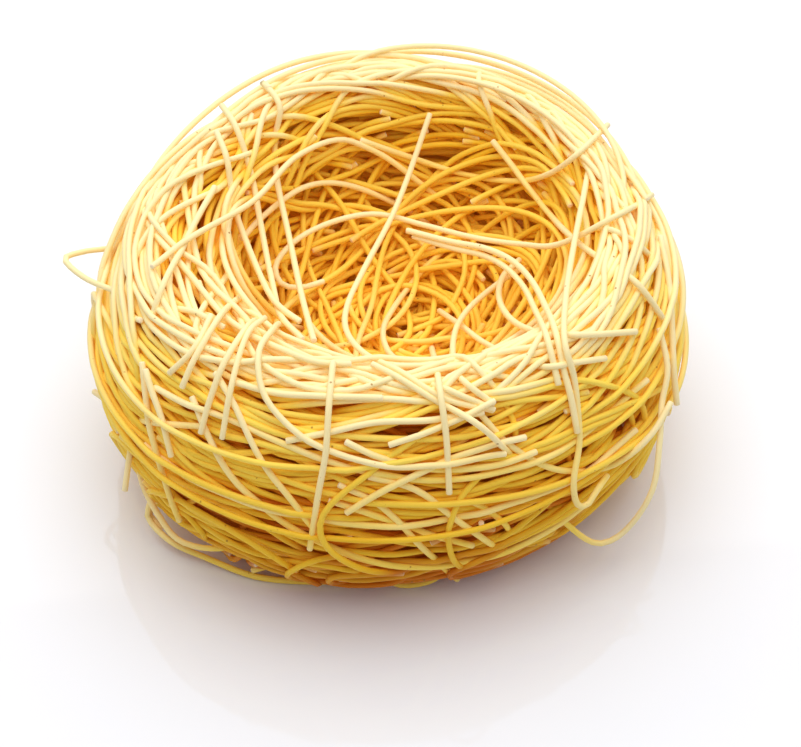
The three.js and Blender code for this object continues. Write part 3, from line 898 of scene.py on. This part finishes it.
def strand_mesh(name, strands, diameter, sides, step, rng):
    """Round rods along the lines, in metres. Ring k of a rod has its corners at the line's point
    plus its radius times the cosine and sine of each corner's angle along two directions across
    the line. The rods' skins are laid side by side in one map of strips."""
    strands = [with_caps(*resampled(line, painted_shade, step)) for line, painted_shade in strands]
    lines = [line for line, _ in strands]
    count = np.array([len(line) for line in lines])
    p = np.concatenate(lines)
    n = len(p)
    strand = np.repeat(np.arange(len(lines)), count)
    first = np.concatenate([[True], strand[1:] != strand[:-1]])
    last = np.roll(first, -1)
    begin = np.flatnonzero(first)
    place = np.arange(n) - np.repeat(begin, count)
    to_end = np.minimum(place, np.repeat(count, count) - 1 - place)
    size = np.ones(n)
    for k, s in enumerate(CAP_SIZE):
        size[to_end == k] = s
    own = rng.normal(1, 0.025, len(lines))[strand]
    waver = 1 + 0.015 * np.sin(0.35 * place + 7 * own * place / 50 + strand)
    radius = diameter / 2 * size * own * waver
    u, v = ring_frames(p, first, last)
    angle = 2 * np.pi * np.arange(sides) / sides
    corner = (
        p[:, None, :]
        + (radius[:, None] * np.cos(angle))[..., None] * u[:, None, :]
        + (radius[:, None] * np.sin(angle))[..., None] * v[:, None, :]
    )
    corner[..., 2] = np.maximum(corner[..., 2], 0)
    ring = np.flatnonzero(~last)
    j = np.arange(sides)
    k = (j + 1) % sides
    quads = np.stack(
        [
            ring[:, None] * sides + j,
            ring[:, None] * sides + k,
            (ring[:, None] + 1) * sides + k,
            (ring[:, None] + 1) * sides + j,
        ],
        -1,
    ).reshape(-1, 4)
    heads = begin[:, None] * sides + j[::-1]
    tails = np.flatnonzero(last)[:, None] * sides + j
    mesh = bpy.data.meshes.new(name)
    vertices = corner.reshape(-1, 3) * MM
    loops = np.concatenate([quads.ravel(), heads.ravel(), tails.ravel()])
    totals = np.concatenate([np.full(len(quads), 4), np.full(2 * len(lines), sides)])
    mesh.vertices.add(len(vertices))
    mesh.vertices.foreach_set("co", vertices.astype(np.float32).ravel())
    mesh.loops.add(len(loops))
    mesh.loops.foreach_set("vertex_index", loops.astype(np.int32))
    mesh.polygons.add(len(totals))
    mesh.polygons.foreach_set("loop_start", (np.cumsum(totals) - totals).astype(np.int32))
    mesh.polygons.foreach_set("use_smooth", np.ones(len(totals), bool))
    mesh.update(calc_edges=True)
    add_strip_map(mesh, p, ring, heads, tails, sides, diameter)
    # Painted shade of each point, which the material turns into colour.
    add_values(mesh, "painted_shade", np.repeat(np.concatenate([painted_shade for _, painted_shade in strands]), sides))
    add_values(mesh, "strand_tone", np.repeat(rng.uniform(0, 1, len(lines))[strand], sides))
    floury = np.select([to_end == k for k in range(len(CAP_FLOUR))], CAP_FLOUR, 0.0)
    add_values(mesh, "cut_end", np.repeat(floury, sides))
    mesh.validate()
    return mesh


def resampled(line, values, step):
    """A strand's line and values with its points about so many mm apart."""
    if step == NODE_STEP:
        return line, values
    both = even_steps(smooth_line(np.column_stack([line, values]), 3), step)
    return both[:, :3], both[:, 3]


def add_strip_map(mesh, p, ring, heads, tails, sides, diameter):
    """A UV map of the rods' skins as strips a rod's girth wide, folded into columns."""
    step = np.concatenate([[0], np.linalg.norm(np.diff(p, axis=0), axis=1).clip(0, 3)])
    run = np.cumsum(step)
    girth = np.pi * diameter * 1.15
    columns = int(np.ceil(np.sqrt(run[-1] / girth)))
    tall = run[-1] / columns + 0.01
    column = np.floor(run / tall)
    low = run - column * tall
    high = low[ring] + step[ring + 1]
    top = tall + 4
    j = np.arange(sides)
    left = (column[ring][:, None] + 0.92 * j / sides) / columns
    right = (column[ring][:, None] + 0.92 * (j + 1) / sides) / columns
    bottom = np.repeat(low[ring][:, None] / top, sides, 1)
    upper = np.repeat(high[:, None] / top, sides, 1)
    u = np.stack([left, right, right, left], -1).ravel()
    v = np.stack([bottom, bottom, upper, upper], -1).ravel()
    ends = np.concatenate([heads, tails])
    at = ends // sides
    cap_u = ((column[at] + 0.92 * (ends % sides) / sides) / columns).ravel()
    cap_v = (low[at] / top).ravel()
    uv = np.stack([np.concatenate([u, cap_u]), np.concatenate([v, cap_v])], -1)
    layer = mesh.uv_layers.new(name="OFBake")
    layer.data.foreach_set("uv", uv.astype(np.float32).ravel())


def add_values(mesh, name, values):
    """A number for each vertex, which a material reads by its name."""
    made = mesh.attributes.new(name, "FLOAT", "POINT")
    made.data.foreach_set("value", values.astype(np.float32))


def show(name, mesh, material):
    """A piece of the nest: it rides on the nest's body and stands for its CAD solid."""
    old = bpy.data.objects.get(name)
    if old:
        bpy.data.objects.remove(old)
    piece = bpy.data.objects.new(name, mesh)
    bpy.context.scene.collection.objects.link(piece)
    mesh.materials.append(material)
    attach(piece, BODY)
    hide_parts(NODE)
    return piece


def core_mesh(s):
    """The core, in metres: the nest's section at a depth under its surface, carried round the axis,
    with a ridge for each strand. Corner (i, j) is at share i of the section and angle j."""
    form = NestForm(s)
    around, across = 240, 150
    angle = np.linspace(0, 2 * np.pi, around, endpoint=False)[None, :]
    share = np.linspace(0.03, 0.985, across)[:, None]
    turns = share * form.length / PACKED_PITCH
    ridge = 0.22 * np.cos(2 * np.pi * turns + 5 * angle + 2.5 * np.sin(3 * angle))
    depth = s.core_depth / MM - ridge + 0 * angle
    grid = form.at(angle + 0 * share, share + 0 * angle, depth)
    grid[..., 2] = np.maximum(grid[..., 2], s.core_depth / MM * 0.5)
    row = np.arange(across - 1)[:, None] * around
    j = np.arange(around)[None, :]
    k = (j + 1) % around
    quads = np.stack([row + j, row + k, row + around + k, row + around + j], -1).reshape(-1, 4)
    mesh = bpy.data.meshes.new("packed_core")
    bottom = list(range(around))[::-1]
    top = [(across - 1) * around + i for i in range(around)]
    mesh.from_pydata((grid.reshape(-1, 3) * MM).tolist(), [], quads.tolist() + [bottom, top])
    mesh.shade_smooth()
    mesh.validate()
    return mesh


# ---- Materials ----------------------------------------------------------------------------------


def add_node(tree, kind, inputs=None, out=0, **settings):
    """Adds a node of a kind and gives back one of its outputs. Each input, by name or number, gets a
    value or a link from another node's output."""
    node = tree.nodes.new(kind)
    for name, value in settings.items():
        setattr(node, name, value)
    for name, value in (inputs or {}).items():
        if isinstance(value, bpy.types.NodeSocket):
            tree.links.new(value, node.inputs[name])
        else:
            node.inputs[name].default_value = value
    return node.outputs[out] if node.outputs else node


def new_material(name):
    """An empty node material, and its tree."""
    old = bpy.data.materials.get(name)
    if old:
        bpy.data.materials.remove(old)
    material = bpy.data.materials.new(name)
    material.use_nodes = True
    material.node_tree.nodes.clear()
    return material, material.node_tree


THROUGH_LIGHT = 0.02  # a very faint painted glow, in place of the light that thin strands let through
TONE_WIDTH = 0.08  # how far one strand's tone may be from the next one's, on the scale of the painted shade
CLOUD_WIDTH = 0.10  # how far it may waver along a strand
# Stops of the painted light and shade on the ramp: pale in the open, through to shaded where little
# light gets.
TONES = {"pale": 0.43, "body": 0.58, "inner": 0.71, "deep": 0.81, "shaded": 0.89}
MIX_FROM, MIX_TO, MIXED = 6, 7, 2  # a Mix node's two colours and its result, by number


def dried_durum_dough(c):
    """Extruded durum dough, dried hard: smooth and a little waxy. Its colour is painted light and
    shade: strands in the open are painted pale, and those that get their light through others are
    painted golden to orange. It also has a faint painted glow in its own colour."""
    material, tree = new_material("dried_durum_dough")
    place = add_node(tree, "ShaderNodeTexCoord", out="Object")
    painted_shade, tone, cut = (
        add_node(tree, "ShaderNodeAttribute", out="Fac", attribute_name=name)
        for name in ("painted_shade", "strand_tone", "cut_end")
    )
    # Each strand is a little yellower or paler than the next, and cloudy along its length.
    own = {0: tone, 1: TONE_WIDTH, 2: painted_shade}
    own = add_node(tree, "ShaderNodeMath", own, operation="MULTIPLY_ADD")
    clouds = add_node(tree, "ShaderNodeTexNoise", {"Vector": place, "Scale": 130.0, "Detail": 2.0})
    depth = {0: clouds, 1: CLOUD_WIDTH, 2: own}
    depth = add_node(tree, "ShaderNodeMath", depth, operation="MULTIPLY_ADD")
    # Painted light and shade: the ramp turns the painted shade, with each strand's own tone, into
    # colour.
    shade = add_node(tree, "ShaderNodeValToRGB", {"Fac": depth})
    stops = shade.node.color_ramp.elements
    stops.remove(stops[1])
    stops[0].position = TONES["pale"]
    for name, at in TONES.items():
        stop = stops[0] if name == "pale" else stops.new(at)
        stop.color = (*getattr(c, name), 1)
    # Bran specks, about 0.1 mm wide and far apart.
    specks = add_node(tree, "ShaderNodeTexVoronoi", {"Vector": place, "Scale": 1300.0})
    inside = {"Value": specks, "From Min": 0.10, "From Max": 0.22, "To Min": 0.8, "To Max": 0.0}
    inside = add_node(tree, "ShaderNodeMapRange", inside)
    rare = add_node(tree, "ShaderNodeTexNoise", {"Vector": place, "Scale": 700.0, "Detail": 0.0})
    rare = add_node(tree, "ShaderNodeMapRange", {"Value": rare, "From Min": 0.72, "From Max": 0.74})
    speck = add_node(tree, "ShaderNodeMath", {0: inside, 1: rare}, operation="MULTIPLY")
    spotted = {"Factor": speck, MIX_FROM: shade, MIX_TO: (*c.speck, 1)}
    spotted = add_node(tree, "ShaderNodeMix", spotted, MIXED, data_type="RGBA")
    # A cut end is floury and paler than the skin.
    skin = {"Factor": cut, MIX_FROM: spotted, MIX_TO: (*c.cut, 1)}
    skin = add_node(tree, "ShaderNodeMix", skin, MIXED, data_type="RGBA")
    grain = add_node(tree, "ShaderNodeTexNoise", {"Vector": place, "Scale": 2600.0, "Detail": 2.0})
    bump = {"Height": grain, "Strength": 0.1, "Distance": 0.00003}
    surface = {
        "Base Color": skin,
        "Roughness": 0.48,
        "IOR": 1.4,
        "Specular IOR Level": 0.25,
        # Painted glow: the dough glows faintly in its own colour.
        "Emission Color": skin,
        "Emission Strength": THROUGH_LIGHT,
        "Normal": add_node(tree, "ShaderNodeBump", bump),
    }
    surface = add_node(tree, "ShaderNodeBsdfPrincipled", surface)
    add_node(tree, "ShaderNodeOutputMaterial", {"Surface": surface})
    return material


def packed_dough(c):
    """The same dough, packed: painted a deep golden as shade where it shows through the gaps, and
    uneven at random.
    """
    material, tree = new_material("packed_dough")
    place = add_node(tree, "ShaderNodeTexCoord", out="Object")
    clouds = add_node(tree, "ShaderNodeTexNoise", {"Vector": place, "Scale": 160.0, "Detail": 2.0})
    shade = add_node(tree, "ShaderNodeValToRGB", {"Fac": clouds})
    core = np.array(c.core)
    for stop, share in zip(shade.node.color_ramp.elements, (0.7, 1.0)):
        stop.color = (*(core * share), 1)
    surface = {"Base Color": shade, "Roughness": 0.6, "IOR": 1.5}
    surface = add_node(tree, "ShaderNodeBsdfPrincipled", surface)
    add_node(tree, "ShaderNodeOutputMaterial", {"Surface": surface})
    return material


def glossy_white_sheet(c):
    """A white acrylic sheet: even, and faintly mirror-like."""
    material, tree = new_material("glossy_white_sheet")
    surface = {"Base Color": (*c, 1), "Roughness": 0.04, "IOR": 1.6}
    surface = add_node(tree, "ShaderNodeBsdfPrincipled", surface)
    add_node(tree, "ShaderNodeOutputMaterial", {"Surface": surface})
    return material


# ---- Operators ----------------------------------------------------------------------------------


class StrandPiece:
    """What the operators for strands share: one kind of strand becomes one piece."""

    bl_options = {"REGISTER", "UNDO"}
    kind = ""
    sides = 8
    step = 1.3  # mm

    def execute(self, context):
        s = context.scene.nest
        strands = wound_nest(nest_key())[self.kind]
        rng = np.random.default_rng([s.seed, len(strands)])
        name = f"{self.kind}_strands"
        mesh = strand_mesh(name, strands, s.strand / MM, self.sides, self.step, rng)
        material = bpy.data.materials.get("dried_durum_dough") or dried_durum_dough(context.scene.pasta)
        show(name, mesh, material)
        return {"FINISHED"}


class PASTA_OT_side_strands(StrandPiece, bpy.types.Operator):
    """Wind the strands of the outer side"""

    bl_idname = "pasta.side_strands"
    bl_label = "Side strands"
    kind = "side"


class PASTA_OT_rim_strands(StrandPiece, bpy.types.Operator):
    """Wind the strands over the rim"""

    bl_idname = "pasta.rim_strands"
    bl_label = "Rim strands"
    kind = "rim"


class PASTA_OT_wall_strands(StrandPiece, bpy.types.Operator):
    """Wind the strands of the inner wall"""

    bl_idname = "pasta.wall_strands"
    bl_label = "Wall strands"
    kind = "wall"


class PASTA_OT_stray_strands(StrandPiece, bpy.types.Operator):
    """Lay the strands that wander over the others"""

    bl_idname = "pasta.stray_strands"
    bl_label = "Stray strands"
    kind = "stray"
    step = 1.4


class PASTA_OT_packed_strands(StrandPiece, bpy.types.Operator):
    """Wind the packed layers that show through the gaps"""

    bl_idname = "pasta.packed_strands"
    bl_label = "Packed strands"
    kind = "packed"
    sides = 6
    step = 2.0


class PASTA_OT_hollow_strands(StrandPiece, bpy.types.Operator):
    """Lay the strands that cross the hollow's floor"""

    bl_idname = "pasta.hollow_strands"
    bl_label = "Hollow strands"
    kind = "hollow"


class PASTA_OT_foot_strands(StrandPiece, bpy.types.Operator):
    """Lay the strands under the nest"""

    bl_idname = "pasta.foot_strands"
    bl_label = "Foot strands"
    kind = "foot"


class PASTA_OT_loose_strands(StrandPiece, bpy.types.Operator):
    """Lay the loops and cut ends that stand off the nest"""

    bl_idname = "pasta.loose_strands"
    bl_label = "Loose strands"
    kind = "loose"
    sides = 10
    step = 1.0


class PASTA_OT_packed_core(bpy.types.Operator):
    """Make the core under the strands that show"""

    bl_idname = "pasta.packed_core"
    bl_label = "Packed core"
    bl_options = {"REGISTER", "UNDO"}

    def execute(self, context):
        show("packed_core", core_mesh(context.scene.nest), packed_dough(context.scene.pasta))
        return {"FINISHED"}


class PASTA_OT_stage(bpy.types.Operator):
    """Set up the floor, the light and the camera"""

    bl_idname = "pasta.stage"
    bl_label = "Stage"
    bl_options = {"REGISTER", "UNDO"}

    def execute(self, context):
        s = context.scene.stage
        add_floor(s)
        add_lights(context.scene, s)
        add_camera(context.scene)
        context.scene.view_settings.view_transform = "Standard"
        return {"FINISHED"}


FLOOR_SIZE = 2.4  # m
FLOOR_GAP = 0.02 * MM  # under the nest, so that the two surfaces don't coincide


def add_floor(s):
    """A flat sheet under the nest."""
    half = FLOOR_SIZE / 2
    mesh = bpy.data.meshes.new("floor")
    corners = [(x * half, y * half, -FLOOR_GAP) for x, y in ((-1, -1), (1, -1), (1, 1), (-1, 1))]
    mesh.from_pydata(corners, [], [(0, 1, 2, 3)])
    floor = bpy.data.objects.new("floor", mesh)
    bpy.context.scene.collection.objects.link(floor)
    mesh.materials.append(glossy_white_sheet(s.floor))


def add_soft_light(scene, name, place, aim, width, power):
    """A square area light of a width in metres, at a place and aimed at a point, both in mm."""
    light = bpy.data.lights.new(name, "AREA")
    light.shape = "SQUARE"
    light.size = width
    light.energy = power
    lamp = bpy.data.objects.new(name, light)
    place, aim = np.array(place, float), np.array(aim, float)
    lamp.location = place * MM
    lamp.rotation_euler = direction(aim - place).to_track_quat("-Z", "Y").to_euler()
    scene.collection.objects.link(lamp)


def direction(v):
    """The vector v as Blender's own."""
    return Vector([float(x) for x in v])


LIGHT_BOUNCES = 16  # light gets deep into the nest from strand to strand
LOW_SHARE = 0.25  # of the room's light comes from near the horizon
FRONT_SHARE = 0.5  # and of that from behind, so much from the front


def add_lights(scene, s):
    """A wide lamp straight above, a weak one behind, and a white room that is brightest high up
    behind the nest and dim near the horizon."""
    add_soft_light(scene, "key_light", (0, 0, 460), (0, 0, 10), 0.5, s.key)
    add_soft_light(scene, "back_light", (-40, 420, 260), (0, 0, 10), 0.4, s.back)
    world = bpy.data.worlds.new("white_room")
    world.use_nodes = True
    tree = world.node_tree
    tree.nodes.clear()
    way = add_node(tree, "ShaderNodeTexCoord", out="Generated")
    up = add_node(tree, "ShaderNodeSeparateXYZ", {"Vector": way}, "Z")
    high = {"Value": up, "From Min": 0.1, "From Max": 0.5, "To Min": LOW_SHARE, "To Max": 1.0}
    high = add_node(tree, "ShaderNodeMapRange", high)
    back = {"From Min": -0.6, "From Max": 0.6, "To Min": s.world * FRONT_SHARE, "To Max": s.world}
    back["Value"] = up.node.outputs["Y"]
    back = add_node(tree, "ShaderNodeMapRange", back)
    strength = add_node(tree, "ShaderNodeMath", {0: high, 1: back}, operation="MULTIPLY")
    room = add_node(tree, "ShaderNodeBackground", {"Color": (1, 1, 1, 1), "Strength": strength})
    add_node(tree, "ShaderNodeOutputWorld", {"Surface": room})
    scene.world = world
    scene.cycles.max_bounces = LIGHT_BOUNCES
    scene.cycles.diffuse_bounces = LIGHT_BOUNCES


SENSOR = 36.0  # mm, the width of Blender's usual sensor


def add_camera(scene):
    """A camera that sees the nest as the picture does: the nest's middle falls on its own pixel by
    aiming past it."""
    place, right, up, _ = camera_axes()
    off = (np.array([PICTURE_WIDTH, PICTURE_HEIGHT]) / 2 - MIDDLE_IN_PICTURE) / PIXELS_PER_MM
    aim = np.array([0, 0, MIDDLE_HEIGHT]) + right * off[0] - up * off[1]
    data = bpy.data.cameras.new("camera")
    data.sensor_width = SENSOR
    data.lens = SENSOR * PIXELS_PER_MM * CAMERA_DISTANCE / PICTURE_WIDTH
    data.clip_start = 0.01
    camera = bpy.data.objects.new("camera", data)
    camera.location = place * MM
    camera.rotation_euler = direction(aim - place).to_track_quat("-Z", "Y").to_euler()
    scene.collection.objects.link(camera)
    scene.camera = camera


class PASTA_PT_nest(bpy.types.Panel):
    """Settings and steps for the nest."""

    bl_idname = "PASTA_PT_nest"
    bl_label = "Angel hair nest"
    bl_space_type = "VIEW_3D"
    bl_region_type = "UI"
    bl_category = "Pasta"

    def draw(self, context):
        scene = context.scene
        for group in (scene.nest, scene.pasta, scene.stage):
            box = self.layout.box()
            for name in group.__annotations__:
                box.prop(group, name)
        for step in STEPS:
            self.layout.operator(step.bl_idname)


STEPS = (
    PASTA_OT_stage,
    PASTA_OT_packed_core,
    PASTA_OT_side_strands,
    PASTA_OT_rim_strands,
    PASTA_OT_wall_strands,
    PASTA_OT_stray_strands,
    PASTA_OT_packed_strands,
    PASTA_OT_hollow_strands,
    PASTA_OT_foot_strands,
    PASTA_OT_loose_strands,
)
GROUPS = {"nest": NestSettings, "pasta": PastaSettings, "stage": StageSettings}


def register():
    for kind in (*GROUPS.values(), *STEPS, PASTA_PT_nest):
        bpy.utils.register_class(kind)
    for name, kind in GROUPS.items():
        setattr(bpy.types.Scene, name, PointerProperty(type=kind))


def unregister():
    for name in GROUPS:
        delattr(bpy.types.Scene, name)
    for kind in reversed((*GROUPS.values(), *STEPS, PASTA_PT_nest)):
        bpy.utils.unregister_class(kind)


def main():
    """Registers the add-on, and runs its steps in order."""
    register()
    for step in STEPS:
        family, name = step.bl_idname.split(".")
        getattr(getattr(bpy.ops, family), name)()


if __name__ == "__main__":
    main()
